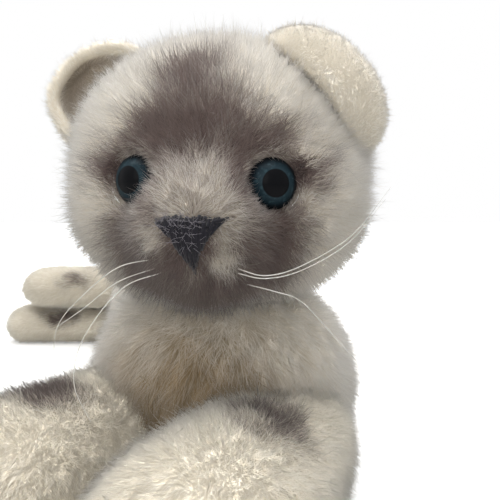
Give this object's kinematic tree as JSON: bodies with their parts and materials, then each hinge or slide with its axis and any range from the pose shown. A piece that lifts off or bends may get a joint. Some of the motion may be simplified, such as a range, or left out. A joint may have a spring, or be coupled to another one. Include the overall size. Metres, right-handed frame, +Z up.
{
  "type": "plush cat",
  "caption": "Lying soft-pile cat with turning head, glossy domed eyes, cupped ears, whiskers, sewn legs and curled tail.",
  "frame": {"origin": "on the flat of the belly, where the toy rests", "axes": "the cat faces -Y, +X is its left side, +Z is up"},
  "size_m": [0.195, 0.3038, 0.1338],
  "materials": {
    "head_plush": "long-pile acrylic plush, taupe mask fading to cream",
    "body_plush": "long-pile acrylic plush, cream",
    "leg_plush": "long-pile acrylic plush, cream with taupe patches",
    "ear_velour": "short velour pile",
    "polyester_fibrefill": "lofted polyester fibre",
    "cotton_pouch": "plain woven cotton",
    "plastic_pellets": "polyethylene pellets",
    "sewing_thread": "polyester thread",
    "nose_thread": "black-navy satin stitch",
    "nylon_bristle": "clear nylon monofilament",
    "joint_plastic": "moulded polypropylene",
    "eye_black_plastic": "moulded black plastic",
    "eye_iris_paint": "slate blue paint behind the lens",
    "eye_clear_acrylic": "clear moulded acrylic dome",
    "washer_plastic": "moulded nylon"
  },
  "bodies": {
    "torso": {"torso_left_panel": "body_plush", "torso_right_panel": "body_plush", "torso_belly_panel": "body_plush", "torso_stuffing": "polyester_fibrefill", "pellet_pouch": "cotton_pouch", "pellet_fill": "plastic_pellets", "closing_stitches": "sewing_thread", "neck_body_disc": "joint_plastic"},
    "head": {"head_crown_gusset": "head_plush", "head_chin_panel": "head_plush", "head_left_panel": "head_plush", "head_right_panel": "head_plush", "head_stuffing": "polyester_fibrefill", "neck_disc_with_stem": "joint_plastic", "neck_lock_washer": "joint_plastic", "nose_stitching": "nose_thread", "whiskers_left": "nylon_bristle", "whiskers_right": "nylon_bristle", "eye_cup_left": "eye_black_plastic", "eye_iris_left": "eye_iris_paint", "eye_pupil_left": "eye_black_plastic", "eye_lens_left": "eye_clear_acrylic", "eye_washer_left": "washer_plastic", "eye_cup_right": "eye_black_plastic", "eye_iris_right": "eye_iris_paint", "eye_pupil_right": "eye_black_plastic", "eye_lens_right": "eye_clear_acrylic", "eye_washer_right": "washer_plastic"},
    "ear_left": {"ear_back_left": "head_plush", "ear_lining_left": "ear_velour"},
    "ear_right": {"ear_back_right": "head_plush", "ear_lining_right": "ear_velour"},
    "front_leg_left": {"front_leg_left_upper_panel": "leg_plush", "front_leg_left_under_panel": "leg_plush", "front_leg_left_stuffing": "polyester_fibrefill"},
    "front_leg_right": {"front_leg_right_upper_panel": "leg_plush", "front_leg_right_under_panel": "leg_plush", "front_leg_right_stuffing": "polyester_fibrefill"},
    "hind_leg_left": {"hind_leg_left_upper_panel": "leg_plush", "hind_leg_left_under_panel": "leg_plush", "hind_leg_left_stuffing": "polyester_fibrefill"},
    "hind_leg_right": {"hind_leg_right_upper_panel": "leg_plush", "hind_leg_right_under_panel": "leg_plush", "hind_leg_right_stuffing": "polyester_fibrefill"},
    "tail": {"tail_upper_panel": "body_plush", "tail_under_panel": "body_plush", "tail_stuffing": "polyester_fibrefill"}
  },
  "joints": [
    {"name": "head_turn", "type": "hinge", "parent": "torso", "child": "head", "pos_m": [0, -0.075, 0.06], "axis": [0, 0, 1], "range_deg": [-50, 50]},
    {"name": "front_leg_left_lift", "type": "hinge", "parent": "torso", "child": "front_leg_left", "pos_m": [0.019, -0.08, 0.0175], "axis": [-0.9272, 0.3746, 0], "range_deg": [-8, 20]},
    {"name": "front_leg_right_lift", "type": "hinge", "parent": "torso", "child": "front_leg_right", "pos_m": [-0.026, -0.066, 0.0175], "axis": [-0.9135, 0.4067, 0], "range_deg": [-8, 20]},
    {"name": "hind_leg_left_swing", "type": "hinge", "parent": "torso", "child": "hind_leg_left", "pos_m": [-0.052, 0.109, 0.0108], "axis": [0, 0, 1], "range_deg": [-20, 20]},
    {"name": "hind_leg_right_swing", "type": "hinge", "parent": "torso", "child": "hind_leg_right", "pos_m": [-0.053, 0.104, 0.0353], "axis": [0, 0, 1], "range_deg": [-20, 20]},
    {"name": "tail_swing", "type": "hinge", "parent": "torso", "child": "tail", "pos_m": [-0.023, 0.1268, 0.0095], "axis": [0, 0, 1], "range_deg": [0, 50]},
    {"name": "ear_left_flex", "type": "hinge", "parent": "head", "child": "ear_left", "pos_m": [0.02773, -0.07518, 0.12176], "axis": [-0.6571, 0.0648, 0.751], "range_deg": [-12, 12], "stiffness_Nm_per_rad": 0.02},
    {"name": "ear_right_flex", "type": "hinge", "parent": "head", "child": "ear_right", "pos_m": [-0.02971, -0.06023, 0.11147], "axis": [-0.7013, -0.1789, -0.6901], "range_deg": [-12, 12], "stiffness_Nm_per_rad": 0.02}
  ]
}
